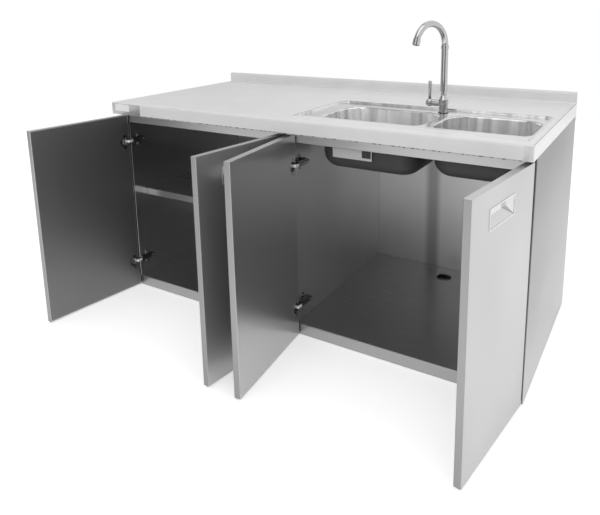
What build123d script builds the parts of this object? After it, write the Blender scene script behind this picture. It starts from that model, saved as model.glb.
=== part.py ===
from build123d import *
from collections import namedtuple
from math import cos, radians, sin
import os

# Kitchen sink unit, millimetres. +X runs along the worktop to the right, +Y to the back, +Z up.
# The origin is the middle of the cabinet's footprint, at floor level.

# ---------------------------------------------------------------- worktop
WORKTOP_LENGTH = 1500.0
WORKTOP_DEPTH = 700.0
WORKTOP_HEIGHT = 740.0
WORKTOP_SHEET = 1.2
APRON_HEIGHT = 42.0
APRON_RETURN = 15.0
UPSTAND_HEIGHT = 40.0
UPSTAND_THICKNESS = 12.0
UPSTAND_CREST_RADIUS = 5.0
WORKTOP_BEND = 2.5
WORKTOP_CORNER = 1.5
CHANNEL_DEPTH = 20.0
CHANNEL_WIDTH = 60.0
CHANNEL_FLANGE = 15.0
CHANNEL_END_GAP = 10.0
CHANNEL_NEAR_SHARE = 1 / 3        # channel lines, as shares of the cabinet's half depth
CHANNEL_FAR_SHARE = 1 / 2

# ---------------------------------------------------------------- cabinet
FRONT_OVERHANG = 54.0            # worktop front edge to cabinet front plane
CARCASS_SHEET = 1.0
CARCASS_BEND = 2.0
PANEL_THICKNESS = 22.0
DIVIDER_THICKNESS = 22.0
DIVIDER_FROM_SINK_LEFT = 0.0     # divider centre from the sink's left end
BASE_HEIGHT = 39.0
BASE_RETURN = 15.0
PIPE_HOLE_DIAMETER = 57.0
PIPE_HOLE_FROM_RIGHT = 421.0
PIPE_HOLE_FROM_BACK = 85.0
BASE_CHANNEL_DEPTH = 25.0
FOOT_PLATE_SIZE = 60.0
FOOT_PLATE_THICKNESS = 3.0
FOOT_SOCKET_DIAMETER = 10.0
FOOT_NUT_FLATS = 17.0
FOOT_NUT_HEIGHT = 8.0
RAIL_DROP = 40.0                 # front rail showing under the apron
RAIL_RETURN = 25.0
REAR_RAIL_HEIGHT = 40.0
SHELF_HEIGHT = 383.0
SHELF_LIP = 25.0
SHELF_SETBACK = 62.0
SHELF_GAP = 1.0
CLIP_LENGTH = 24.0
CLIP_LEG = 16.0
CLIP_SHEET = 1.5
CLIP_FROM_SHELF_END = 60.0

# ---------------------------------------------------------------- sink
SINK_LENGTH = 732.0
SINK_FROM_RIGHT = 18.0
SINK_FROM_FRONT = 48.0
SINK_SHEET = 1.0
SINK_CORNER = 34.0
RIM_BEAD_HEIGHT = 2.5
RIM_BEAD_WIDTH = 9.0
RIM_BEAD_ROUND = 1.9
FLANGE_DROP = 4.5                # sink deck below the worktop face
CUTOUT_INSET = 5.0               # worktop opening inside the rim's outline
DECK_ROUND = 2.0
BOWL_FROM_SINK_FRONT = 50.0
BOWL_WIDTH = 244.0
DECK_BEHIND_BOWLS = 68.0
BOWL_CORNER = 68.0
BOWL_DRAFT = 3.0
BOWL_RIM_ROUND = 6.0
BOWL_FLOOR_ROUND = 46.0
BOWL_FROM_SINK_LEFT = 68.0
BOWL_FROM_SINK_RIGHT = 15.0
LAND_WIDTH = 31.0                # between the two bowl walls
RIGHT_BOWL_LENGTH = 279.0        # the left bowl takes the rest of the sink's length
LEFT_BOWL_DEPTH = 160.0
RIGHT_BOWL_DEPTH = 143.0
DRAIN_DIAMETER = 114.0
SINK_NOTCH_CLEARANCE = 2.0
SINK_CLIP_WIDTH = 20.0
SINK_CLIP_REACH = 14.0
SINK_CLIP_BEND = 0.5
SINK_CLIP_COUNT = 4

# ---------------------------------------------------------------- faucet
FAUCET_FROM_LAND = 26.5          # left of the land's centre
FAUCET_BEHIND_BOWLS = 14.0
DECK_HOLE_DIAMETER = 26.0
GASKET_DIAMETER = 34.0
GASKET_THICKNESS = 1.5
FAUCET_BASE_DIAMETER = 29.0
FAUCET_BASE_HEIGHT = 29.0
FAUCET_RING_DIAMETER = 30.5
FAUCET_RING_HEIGHT = 14.0
FAUCET_SHOULDER_HEIGHT = 12.0
FAUCET_NECK_DIAMETER = 18.0
FAUCET_NECK_HEIGHT = 14.0
SWIVEL_STUB_DIAMETER = 13.0
SWIVEL_STUB_LENGTH = 26.0
SHANK_DIAMETER = 25.0
SHANK_LENGTH = 46.0
INLET_DIAMETER = 10.0
INLET_DEPTH = 15.0
INLET_SPACING = 11.4
WASHER_DIAMETER = 42.0
WASHER_THICKNESS = 3.0
CLAMP_NUT_FLATS = 34.0
CLAMP_NUT_HEIGHT = 9.0
RISER_DIAMETER = 22.0
SPOUT_DIAMETER = 20.5
SPOUT_WALL = 1.5
SPOUT_RADIUS = 68.0
SPOUT_TURN = 165.0
SPOUT_HEIGHT = 284.5             # deck to the top of the tube's centre line
SPOUT_BEARING = 20.0             # outlet's turn from straight ahead, towards the left
COLLAR_HEIGHT = 12.0
COLLAR_DIAMETER = 25.0
COLLAR_ROUND = 1.5
AERATOR_DIAMETER = 23.0
AERATOR_LENGTH = 20.0
AERATOR_OVERLAP = 8.0
CARTRIDGE_DIAMETER = 22.0
CARTRIDGE_AXIS_HEIGHT = 31.0
CARTRIDGE_REACH = 38.0           # faucet axis to the fixed housing's end
HUB_BALL_DIAMETER = 27.0
HUB_GAP = 0.3
HUB_STEM_DIAMETER = 12.0
HUB_STEM_LENGTH = 9.0
LEVER_FROM_HUB_FACE = 8.0        # hub's flat face to the ball's centre
LEVER_SLOT_REACH = 10.0          # ball's centre to the slot's outer end
LEVER_LENGTH = 71.0              # hub axis to the lever's tip
LEVER_ROOT_WIDTH = 7.0
LEVER_ROOT_DIAMETER = 8.0
LEVER_BASE_DIAMETER = 6.0
LEVER_SHOULDER_DIAMETER = 9.0
LEVER_TIP_DIAMETER = 12.0
LEVER_TRUNNION_DIAMETER = 4.0
LEVER_TRUNNION_LENGTH = 20.0
LEVER_CLEARANCE = 0.3
LEVER_RING_DIAMETER = 10.0
LEVER_RING_HEIGHT = 3.0
LEVER_RING_GAP = 1.0
EDGE_BREAK = 1.0                 # small turned pieces and screw heads

# ---------------------------------------------------------------- doors
DOOR_THICKNESS = 20.0
DOOR_SHEET = 1.0
DOOR_EDGE_ROUND = 3.0
DOOR_FLOOR_GAP = 5.0
DOOR_TOP_GAP = 10.0              # below the apron
DOOR_GAP = 4.0                   # between neighbouring doors
DOOR_END_INSET = 2.0             # inside the worktop's end
DOOR_STANDOFF = 3.5              # door back to cabinet front plane
DOOR_RETURN = 4.0
INNER_PAN_RETURN = 3.0
OPEN_ANGLES = (97.6, 83.0, 83.7, 82.1)
HANDLE_FROM_HINGE = 135.0
HANDLE_LENGTH = 138.0
HANDLE_HEIGHT = 45.0
HANDLE_FROM_DOOR_TOP = 50.0
HANDLE_DEPTH = 15.0
HANDLE_SLOPE_RISE = 20.0
HANDLE_END_DRAFT = 12.0
HANDLE_WALL = 1.2
HANDLE_RIM = 4.0
HANDLE_RIM_PROUD = 1.2
HANDLE_RIM_CORNER = 2.0

# ---------------------------------------------------------------- hinges
PIVOT_FROM_EDGE = 11.0
PIVOT_DEPTH = 7.0                # behind the door's outer face
HINGE_FROM_DOOR_END = 101.0
CUP_DIAMETER = 35.0
CUP_FROM_EDGE = 22.5
CUP_DEPTH = 16.7
CUP_WALL = 1.5
CUP_FLOOR = 1.0
CUP_RIM_DIAMETER = 39.0
CUP_RIM_PROUD = 1.0
CUP_WING_LENGTH = 54.0
CUP_WING_WIDTH = 13.0
PIN_DIAMETER = 3.0
PIN_CLEARANCE = 0.05
PIN_LENGTH = 23.0
ARM_WIDTH = 9.0
ARM_SHEET = 2.5
ARM_BEND = 3.0
ARM_EYE_DIAMETER = 4.8
ARM_OFFSET = 17.0                # pivot to the arm leg's near face
ARM_LEG = 66.0                   # behind the cabinet's front plane
PLATE_SETBACK = 6.0
PLATE_LENGTH = 56.0
PLATE_BLOCK_HEIGHT = 19.0
PLATE_WING_LENGTH = 50.0
PLATE_WING_WIDTH = 15.0
PLATE_WING_THICKNESS = 2.0
PLATE_CORNER = 3.0
SCREW_LINE = 37.0                # behind the cabinet's front plane
SCREW_SPACING = 32.0
SCREW_DIAMETER = 4.0
SCREW_LENGTH = 9.0
SCREW_HEAD_DIAMETER = 7.2
SCREW_HEAD_HEIGHT = 2.2
ARM_SCREW_FROM_END = 9.0

CUT_MARGIN = 1.0                 # how far a cutter runs past the face that it cuts

# ---------------------------------------------------------------- levels and lines worked out from these
carcass_depth = WORKTOP_DEPTH - FRONT_OVERHANG - WORKTOP_SHEET
front_y = -carcass_depth / 2
back_y = carcass_depth / 2
inside_back_y = back_y - CARCASS_SHEET
worktop_front_y = front_y - FRONT_OVERHANG
worktop_back_y = back_y + WORKTOP_SHEET
end_x = WORKTOP_LENGTH / 2
panel_out_x = end_x - WORKTOP_SHEET
panel_in_x = panel_out_x - PANEL_THICKNESS
worktop_under_z = WORKTOP_HEIGHT - WORKTOP_SHEET
apron_z = WORKTOP_HEIGHT - APRON_HEIGHT
rail_z = apron_z - RAIL_DROP

sink_right_x = end_x - SINK_FROM_RIGHT
sink_left_x = sink_right_x - SINK_LENGTH
sink_front_y = worktop_front_y + SINK_FROM_FRONT
deck_z = WORKTOP_HEIGHT - FLANGE_DROP
deck_under_z = deck_z - SINK_SHEET
bowl_front_y = sink_front_y + BOWL_FROM_SINK_FRONT
bowl_back_y = bowl_front_y + BOWL_WIDTH
sink_back_y = bowl_back_y + DECK_BEHIND_BOWLS
left_bowl_x = sink_left_x + BOWL_FROM_SINK_LEFT
right_bowl_x = sink_right_x - BOWL_FROM_SINK_RIGHT - RIGHT_BOWL_LENGTH
left_bowl_length = right_bowl_x - LAND_WIDTH - left_bowl_x

divider_x = sink_left_x + DIVIDER_FROM_SINK_LEFT
divider_left_x = divider_x - DIVIDER_THICKNESS / 2
divider_right_x = divider_x + DIVIDER_THICKNESS / 2

faucet_x = right_bowl_x - LAND_WIDTH / 2 - FAUCET_FROM_LAND
faucet_y = bowl_back_y + FAUCET_BEHIND_BOWLS
faucet_z = deck_z + GASKET_THICKNESS
ring_z = faucet_z + FAUCET_BASE_HEIGHT
shoulder_z = ring_z + FAUCET_RING_HEIGHT
neck_z = shoulder_z + FAUCET_SHOULDER_HEIGHT
riser_z = neck_z + FAUCET_NECK_HEIGHT
arc_z = deck_z + SPOUT_HEIGHT - SPOUT_RADIUS
hub_z = deck_z + CARTRIDGE_AXIS_HEIGHT
hub_start_x = faucet_x - CARTRIDGE_REACH - HUB_GAP
lever_x = hub_start_x - LEVER_FROM_HUB_FACE
lever_ring_base = HUB_BALL_DIAMETER / 2 + LEVER_RING_GAP

door_back_y = front_y - DOOR_STANDOFF
door_front_y = door_back_y - DOOR_THICKNESS
door_z = DOOR_FLOOR_GAP
door_height = apron_z - DOOR_TOP_GAP - door_z
outer_edge_x = end_x - DOOR_END_INSET
left_door_width = (divider_x + outer_edge_x - DOOR_GAP / 2 - DOOR_GAP) / 2
right_door_width = (outer_edge_x - divider_x - DOOR_GAP / 2 - DOOR_GAP) / 2
hinge_heights = (door_z + HINGE_FROM_DOOR_END, door_z + door_height - HINGE_FROM_DOOR_END)
pivot_y = door_front_y + PIVOT_DEPTH

# edge_x is the hinge edge, hand +1 for a door hung on its left, panel_x the panel face behind its hinges
Door = namedtuple("Door", "name edge_x hand width angle panel_x")
DOORS = (
    Door("door_1", -outer_edge_x, 1, left_door_width, OPEN_ANGLES[0], -panel_in_x),
    Door("door_2", divider_x - DOOR_GAP / 2, -1, left_door_width, OPEN_ANGLES[1], divider_left_x),
    Door("door_3", divider_x + DOOR_GAP / 2, 1, right_door_width, OPEN_ANGLES[2], divider_right_x),
    Door("door_4", outer_edge_x, -1, right_door_width, OPEN_ANGLES[3], panel_in_x),
)

parts = {}


# ---------------------------------------------------------------- helpers
def block(x0, x1, y0, y1, z0, z1):
    """A plain block between two corners."""
    return Pos((x0 + x1) / 2, (y0 + y1) / 2, (z0 + z1) / 2) * Box(x1 - x0, y1 - y0, z1 - z0)


def rounded_block(x0, x1, y0, y1, z0, z1, radius):
    """A block whose upright edges are rounded."""
    outline = RectangleRounded(x1 - x0, y1 - y0, radius)
    return Pos((x0 + x1) / 2, (y0 + y1) / 2, z0) * extrude(outline, z1 - z0)


def rod(diameter, length, x=0.0, y=0.0, z=0.0):
    """An upright cylinder that starts at z."""
    return Pos(x, y, z + length / 2) * Cylinder(diameter / 2, length)


def folded(points, sheet, bend, plane, length):
    """A strip with right-angled folds: the sheet lies to the right of the drawn line."""
    near = [Vector(*point) for point in points]
    steps = [(end - start).normalized() for start, end in zip(near, near[1:])]
    rights = [Vector(step.Y, -step.X) * sheet for step in steps]
    far = [near[0] + rights[0]]
    near_radii = []
    far_radii = []
    for index in range(1, len(steps)):
        far.append(near[index] + rights[index - 1] + rights[index])
        turns_left = steps[index - 1].cross(steps[index]).Z > 0
        near_radii.append(bend if turns_left else bend + sheet)
        far_radii.append(bend + sheet if turns_left else bend)
    far.append(near[-1] + rights[-1])
    edges = FilletPolyline(*near, radius=near_radii).edges() + FilletPolyline(*far, radius=far_radii).edges()
    edges += [Edge.make_line(near[0], far[0]), Edge.make_line(near[-1], far[-1])]
    return extrude(plane * make_face(edges), length)


def hat_channel(width, depth, flange, sheet, bend, length):
    """A hat channel along X, its flanges at z = 0 and its crown hanging below."""
    half = width / 2
    points = (
        (-half - flange, 0),
        (-half, 0),
        (-half, -depth),
        (half, -depth),
        (half, 0),
        (half + flange, 0),
    )
    return folded(points, sheet, bend, Plane.YZ, length)


def hollow_panel(x0, x1, y0, y1, z0, z1):
    """A folded box panel, open at its two ends."""
    skin = CARCASS_SHEET
    outer = rounded_block(x0, x1, y0, y1, z0, z1, CARCASS_BEND)
    return outer - rounded_block(x0 + skin, x1 - skin, y0 + skin, y1 - skin, z0, z1, CARCASS_BEND - skin)


# ---------------------------------------------------------------- worktop
def worktop_profile(inset, bottom):
    """The worktop's side profile, a distance inside its outer face."""
    front = worktop_front_y + inset
    back = worktop_back_y - inset
    top = WORKTOP_HEIGHT - inset
    crest = WORKTOP_HEIGHT + UPSTAND_HEIGHT - inset
    upstand = worktop_back_y - UPSTAND_THICKNESS + inset
    points = ((front, bottom), (front, top), (upstand, top), (upstand, crest), (back, crest), (back, bottom))
    outer_bend = WORKTOP_BEND - inset
    inner_bend = WORKTOP_BEND + inset
    crest_bend = UPSTAND_CREST_RADIUS - inset
    line = FilletPolyline(*points, radius=(outer_bend, inner_bend, crest_bend, crest_bend))
    return make_face(line.edges() + [Edge.make_line(points[-1], points[0])])


def make_worktop():
    """Folded stainless top with aprons, hollow upstand, front return and sink opening."""
    outer = Pos(-end_x, 0, 0) * extrude(Plane.YZ * worktop_profile(0, apron_z), WORKTOP_LENGTH)
    ends = outer.faces().filter_by(Axis.X)
    above = apron_z + CUT_MARGIN
    rims = [edge for face in ends for edge in face.edges() if edge.bounding_box().max.Z > above]
    outer = fillet(rims, WORKTOP_CORNER)
    inner_length = WORKTOP_LENGTH - 2 * WORKTOP_SHEET
    void = Pos(-inner_length / 2, 0, 0) * extrude(
        Plane.YZ * worktop_profile(WORKTOP_SHEET, apron_z - CUT_MARGIN), inner_length
    )
    inner_front_y = worktop_front_y + WORKTOP_SHEET
    hem = block(
        -inner_length / 2, inner_length / 2, inner_front_y, inner_front_y + APRON_RETURN,
        apron_z, apron_z + WORKTOP_SHEET,
    )
    opening = rounded_block(
        sink_left_x + CUTOUT_INSET, sink_right_x - CUTOUT_INSET,
        sink_front_y + CUTOUT_INSET, sink_back_y - CUTOUT_INSET,
        worktop_under_z - CUT_MARGIN, WORKTOP_HEIGHT + CUT_MARGIN, SINK_CORNER - CUTOUT_INSET,
    )
    return outer - void + hem - opening


def make_worktop_channels():
    """Hat channels bonded under the sheet, left of the divider and behind the sink."""
    left_length = divider_left_x + panel_in_x - 2 * CHANNEL_END_GAP
    right_length = panel_in_x - divider_right_x - 2 * CHANNEL_END_GAP
    left = hat_channel(
        CHANNEL_WIDTH, CHANNEL_DEPTH, CHANNEL_FLANGE, CARCASS_SHEET, CARCASS_BEND, left_length
    )
    right = hat_channel(
        CHANNEL_WIDTH, CHANNEL_DEPTH, CHANNEL_FLANGE, CARCASS_SHEET, CARCASS_BEND, right_length
    )
    left_x = -panel_in_x + CHANNEL_END_GAP
    right_x = divider_right_x + CHANNEL_END_GAP
    behind_sink_y = (sink_back_y + inside_back_y - RAIL_RETURN) / 2
    return [
        Pos(left_x, front_y * CHANNEL_NEAR_SHARE, worktop_under_z) * left,
        Pos(left_x, back_y * CHANNEL_FAR_SHARE, worktop_under_z) * left,
        Pos(right_x, behind_sink_y, worktop_under_z) * right,
    ]


# ---------------------------------------------------------------- cabinet
def screw_holes(face_x):
    """Holes for the hinge plate screws in the sheet of a panel's face."""
    drills = []
    for height in hinge_heights:
        for side in (-1, 1):
            drill = Pos(face_x, front_y + SCREW_LINE, height + side * SCREW_SPACING / 2)
            drills.append(drill * Rot(0, 90, 0) * Cylinder(SCREW_DIAMETER / 2, 4 * CARCASS_SHEET))
    return drills


def make_side_panel(side):
    """Hollow side panel; side is -1 on the left and +1 on the right."""
    x0 = min(side * panel_in_x, side * panel_out_x)
    panel = hollow_panel(x0, x0 + PANEL_THICKNESS, front_y, inside_back_y, 0, worktop_under_z)
    return panel - screw_holes(side * panel_in_x)


def make_divider():
    """Hollow centre divider standing on the base, notched for the two top rails."""
    panel = hollow_panel(
        divider_left_x, divider_right_x, front_y, inside_back_y, BASE_HEIGHT, worktop_under_z
    )
    front_notch = block(
        divider_left_x, divider_right_x, front_y, front_y + RAIL_RETURN, rail_z, worktop_under_z
    )
    rear_notch = block(
        divider_left_x, divider_right_x, inside_back_y - RAIL_RETURN, inside_back_y,
        worktop_under_z - REAR_RAIL_HEIGHT, worktop_under_z,
    )
    sink_notch = block(
        divider_left_x, divider_right_x, sink_front_y, sink_back_y,
        deck_under_z - SINK_NOTCH_CLEARANCE, worktop_under_z,
    )
    panel = panel - front_notch - rear_notch - sink_notch
    return panel - screw_holes(divider_left_x) - screw_holes(divider_right_x)


def make_back_panel():
    """Flat back sheet behind the side panels."""
    return block(-panel_out_x, panel_out_x, inside_back_y, back_y, 0, worktop_under_z)


def make_base_panel():
    """Base sheet folded down at front and back, with the waste pipe's hole."""
    points = (
        (front_y + BASE_RETURN, 0),
        (front_y, 0),
        (front_y, BASE_HEIGHT),
        (inside_back_y, BASE_HEIGHT),
        (inside_back_y, 0),
        (back_y - BASE_RETURN, 0),
    )
    tray = Pos(-panel_in_x, 0, 0) * folded(points, CARCASS_SHEET, CARCASS_BEND, Plane.YZ, 2 * panel_in_x)
    pipe_x = end_x - PIPE_HOLE_FROM_RIGHT
    pipe_y = back_y - PIPE_HOLE_FROM_BACK
    return tray - rod(PIPE_HOLE_DIAMETER, 3 * CARCASS_SHEET, pipe_x, pipe_y, BASE_HEIGHT - 2 * CARCASS_SHEET)


def make_base_channels():
    """Two hat channels under the base sheet."""
    channel = hat_channel(
        CHANNEL_WIDTH, BASE_CHANNEL_DEPTH, CHANNEL_FLANGE, CARCASS_SHEET, CARCASS_BEND, 2 * panel_in_x
    )
    top = BASE_HEIGHT - CARCASS_SHEET
    lines = (front_y * CHANNEL_FAR_SHARE, back_y * CHANNEL_NEAR_SHARE)
    return [Pos(-panel_in_x, y, top) * channel for y in lines]


def foot_centres():
    """Centres of the four levelling-foot sockets."""
    x = panel_in_x - FOOT_PLATE_SIZE / 2
    y = back_y - BASE_RETURN - FOOT_PLATE_SIZE / 2
    return [(sx * x, sy * y) for sx in (-1, 1) for sy in (-1, 1)]


def make_foot_plates():
    """Corner plates, drilled for the threaded foot sockets."""
    half = FOOT_PLATE_SIZE / 2
    plates = []
    for x, y in foot_centres():
        plate = block(x - half, x + half, y - half, y + half, 0, FOOT_PLATE_THICKNESS)
        plates.append(plate - rod(FOOT_SOCKET_DIAMETER, FOOT_PLATE_THICKNESS, x, y, 0))
    return plates


def make_foot_nuts():
    """Weld nuts on the corner plates, which take the thread of a levelling foot."""
    nut = extrude(RegularPolygon(FOOT_NUT_FLATS / 2, 6, major_radius=False), FOOT_NUT_HEIGHT)
    nut -= rod(FOOT_SOCKET_DIAMETER, FOOT_NUT_HEIGHT)
    return [Pos(x, y, FOOT_PLATE_THICKNESS) * nut for x, y in foot_centres()]


def make_front_rail():
    """Front rail under the worktop, folded back at both edges, its top return cut away at the sink."""
    points = (
        (front_y + RAIL_RETURN, rail_z),
        (front_y, rail_z),
        (front_y, worktop_under_z),
        (front_y + RAIL_RETURN, worktop_under_z),
    )
    rail = Pos(-panel_in_x, 0, 0) * folded(points, CARCASS_SHEET, CARCASS_BEND, Plane.YZ, 2 * panel_in_x)
    web_back = front_y + CARCASS_SHEET
    sink_room = block(
        sink_left_x - SINK_NOTCH_CLEARANCE, panel_in_x, web_back, front_y + RAIL_RETURN,
        deck_under_z - SINK_NOTCH_CLEARANCE, worktop_under_z,
    )
    return rail - sink_room


def make_rear_rail():
    """Rear angle under the worktop, against the back panel."""
    points = (
        (inside_back_y - RAIL_RETURN, worktop_under_z),
        (inside_back_y, worktop_under_z),
        (inside_back_y, worktop_under_z - REAR_RAIL_HEIGHT),
    )
    return Pos(-panel_in_x, 0, 0) * folded(points, CARCASS_SHEET, CARCASS_BEND, Plane.YZ, 2 * panel_in_x)


def make_shelf():
    """Shelf of the left compartment, folded down at front and back."""
    shelf_front = front_y + SHELF_SETBACK
    shelf_back = inside_back_y - SHELF_GAP
    points = (
        (shelf_front, SHELF_HEIGHT - SHELF_LIP),
        (shelf_front, SHELF_HEIGHT),
        (shelf_back, SHELF_HEIGHT),
        (shelf_back, SHELF_HEIGHT - SHELF_LIP),
    )
    length = divider_left_x + panel_in_x - 2 * SHELF_GAP
    shelf = folded(points, CARCASS_SHEET, CARCASS_BEND, Plane.YZ, length)
    return Pos(-panel_in_x + SHELF_GAP, 0, 0) * shelf


def make_shelf_clips():
    """Four angle clips that carry the shelf."""
    top = SHELF_HEIGHT - CARCASS_SHEET
    left = folded(
        ((0, -CLIP_LEG), (0, 0), (CLIP_LEG, 0)), CLIP_SHEET, CLIP_SHEET, Plane.XZ, CLIP_LENGTH
    )
    right = mirror(left, Plane.YZ)
    shelf_front = front_y + SHELF_SETBACK
    rows = (
        shelf_front + CLIP_FROM_SHELF_END + CLIP_LENGTH,
        inside_back_y - CLIP_FROM_SHELF_END,
    )
    clips = []
    for y in rows:
        clips.append(Pos(-panel_in_x, y, top) * left)
        clips.append(Pos(divider_left_x, y, top) * right)
    return clips


# ---------------------------------------------------------------- sink
def bowl_form(x0, length, depth, grow):
    """A tapering bowl with a rounded floor; grow thickens it outwards by the sheet."""
    centre = Vector(x0 + length / 2, (bowl_front_y + bowl_back_y) / 2, deck_z)
    down = Plane(origin=centre, x_dir=(1, 0, 0), z_dir=(0, 0, -1))
    mouth = RectangleRounded(length + 2 * grow, BOWL_WIDTH + 2 * grow, BOWL_CORNER + grow)
    form = extrude(down * mouth, depth + grow, taper=BOWL_DRAFT)
    floor = form.faces().sort_by(Axis.Z)[0]
    return fillet(floor.edges(), BOWL_FLOOR_ROUND + grow)


def flat_face(form, level):
    """The level face that lies at, or nearest to, the given height."""
    flats = form.faces().filter_by(Axis.Z)
    return flats.sort_by(lambda face: abs(face.center().Z - level))[0]


def sink_form(grow):
    """The hollow of the sink: its sunk deck and both bowls, or the same thickened by the sheet."""
    inset = RIM_BEAD_WIDTH - grow
    deck = rounded_block(
        sink_left_x + inset, sink_right_x - inset, sink_front_y + inset, sink_back_y - inset,
        deck_z - grow, WORKTOP_HEIGHT + RIM_BEAD_HEIGHT, SINK_CORNER - inset,
    )
    left = bowl_form(left_bowl_x, left_bowl_length, LEFT_BOWL_DEPTH, grow)
    right = bowl_form(right_bowl_x, RIGHT_BOWL_LENGTH, RIGHT_BOWL_DEPTH, grow)
    form = deck + left + right
    mouths = [edge for wire in flat_face(form, deck_z - grow).inner_wires() for edge in wire.edges()]
    form = fillet(mouths, BOWL_RIM_ROUND - grow)
    return fillet(flat_face(form, deck_z - grow).outer_wire().edges(), DECK_ROUND + grow)


def bowl_centres():
    """Plan centre and floor level of the left and the right bowl."""
    y = (bowl_front_y + bowl_back_y) / 2
    return (
        (left_bowl_x + left_bowl_length / 2, y, deck_z - LEFT_BOWL_DEPTH),
        (right_bowl_x + RIGHT_BOWL_LENGTH / 2, y, deck_z - RIGHT_BOWL_DEPTH),
    )


def make_sink():
    """Pressed double-bowl sink: raised rim bead, sunk deck, two drafted bowls, drain and faucet holes."""
    top = WORKTOP_HEIGHT + RIM_BEAD_HEIGHT
    cap = rounded_block(
        sink_left_x, sink_right_x, sink_front_y, sink_back_y, WORKTOP_HEIGHT, top, SINK_CORNER
    )
    under_cap = rounded_block(
        sink_left_x + SINK_SHEET, sink_right_x - SINK_SHEET,
        sink_front_y + SINK_SHEET, sink_back_y - SINK_SHEET,
        WORKTOP_HEIGHT, top - SINK_SHEET, SINK_CORNER - SINK_SHEET,
    )
    sink = cap - under_cap + sink_form(SINK_SHEET) - sink_form(0)
    bead = sink.faces().sort_by(Axis.Z)[-1]
    sink = fillet(bead.edges(), RIM_BEAD_ROUND)
    for x, y, floor in bowl_centres():
        sink -= rod(DRAIN_DIAMETER, 4 * SINK_SHEET, x, y, floor - 2 * SINK_SHEET)
    return sink - rod(DECK_HOLE_DIAMETER, 4 * SINK_SHEET, faucet_x, faucet_y, deck_under_z - SINK_SHEET)


def make_sink_clips():
    """Joggled clips that hold the sink's deck to the worktop's underside along the back."""
    wall = sink_back_y - RIM_BEAD_WIDTH + SINK_SHEET
    points = (
        (wall + CLIP_SHEET + SINK_CLIP_REACH, worktop_under_z),
        (wall, worktop_under_z),
        (wall, deck_under_z),
        (wall - DECK_ROUND - SINK_CLIP_REACH, deck_under_z),
    )
    points = tuple(reversed(points))
    strip = folded(points, CLIP_SHEET, SINK_CLIP_BEND, Plane.YZ, SINK_CLIP_WIDTH)
    pitch = SINK_LENGTH / SINK_CLIP_COUNT
    first = sink_left_x + (pitch - SINK_CLIP_WIDTH) / 2
    return [Pos(first + index * pitch, 0, 0) * strip for index in range(SINK_CLIP_COUNT)]


# ---------------------------------------------------------------- faucet
def make_faucet_body():
    """Faucet body turned in one piece, bored for the spout's stub."""
    base = FAUCET_BASE_DIAMETER / 2
    ring = FAUCET_RING_DIAMETER / 2
    neck = FAUCET_NECK_DIAMETER / 2
    bore = SWIVEL_STUB_DIAMETER / 2 + PIN_CLEARANCE
    bore_z = riser_z - SWIVEL_STUB_LENGTH
    outline = Polyline(
        (0, faucet_z), (base, faucet_z), (base, ring_z),
        (ring, ring_z + EDGE_BREAK), (ring, shoulder_z - EDGE_BREAK), (base, shoulder_z),
        (neck, neck_z), (neck, riser_z), (bore, riser_z), (bore, bore_z), (0, bore_z), close=True,
    )
    turned = revolve(Plane.XZ * make_face(outline.edges()), Axis.Z)
    return Pos(faucet_x, faucet_y, 0) * turned - cartridge_cylinder(0)


def cartridge_cylinder(extra):
    """The cartridge housing's cylinder, from the faucet's axis to its open end."""
    length = CARTRIDGE_REACH + extra
    centre = Pos(faucet_x - length / 2, faucet_y, hub_z)
    return centre * Rot(0, 90, 0) * Cylinder(CARTRIDGE_DIAMETER / 2, length)


def make_cartridge_housing():
    """Housing that stands off the body to the left and is bored for the hub's stem."""
    body = rod(FAUCET_BASE_DIAMETER, 2 * FAUCET_BASE_HEIGHT, faucet_x, faucet_y, faucet_z)
    housing = cartridge_cylinder(0)
    end = housing.faces().sort_by(Axis.X)[0]
    housing = chamfer(end.edges(), EDGE_BREAK)
    bore = Pos(faucet_x - CARTRIDGE_REACH + HUB_STEM_LENGTH / 2, faucet_y, hub_z) * Rot(0, 90, 0)
    return housing - body - bore * Cylinder(HUB_STEM_DIAMETER / 2 + PIN_CLEARANCE, HUB_STEM_LENGTH)


def make_faucet_gasket():
    """Flat seal between the body and the sink's deck."""
    gasket = rod(GASKET_DIAMETER, GASKET_THICKNESS, faucet_x, faucet_y, deck_z)
    return gasket - rod(DECK_HOLE_DIAMETER, GASKET_THICKNESS, faucet_x, faucet_y, deck_z)


def make_faucet_shank():
    """Shank through the deck, with two tapped inlets in its lower end."""
    bottom = faucet_z - SHANK_LENGTH
    shank = rod(SHANK_DIAMETER, SHANK_LENGTH, faucet_x, faucet_y, bottom)
    for side in (-1, 1):
        shank -= rod(INLET_DIAMETER, INLET_DEPTH, faucet_x + side * INLET_SPACING / 2, faucet_y, bottom)
    return shank


def make_faucet_washer():
    """Clamping washer under the deck."""
    bottom = deck_under_z - WASHER_THICKNESS
    washer = rod(WASHER_DIAMETER, WASHER_THICKNESS, faucet_x, faucet_y, bottom)
    return washer - rod(SHANK_DIAMETER, WASHER_THICKNESS, faucet_x, faucet_y, bottom)


def make_faucet_nut():
    """Clamping nut on the shank."""
    bottom = deck_under_z - WASHER_THICKNESS - CLAMP_NUT_HEIGHT
    nut = extrude(RegularPolygon(CLAMP_NUT_FLATS / 2, 6, major_radius=False), CLAMP_NUT_HEIGHT)
    nut -= rod(SHANK_DIAMETER, CLAMP_NUT_HEIGHT)
    return Pos(faucet_x, faucet_y, bottom) * nut


def aim_spout(shape):
    """Turns a spout piece, drawn pointing to -Y, to its place and bearing."""
    return Pos(faucet_x, faucet_y, 0) * Rot(0, 0, -SPOUT_BEARING) * shape


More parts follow.
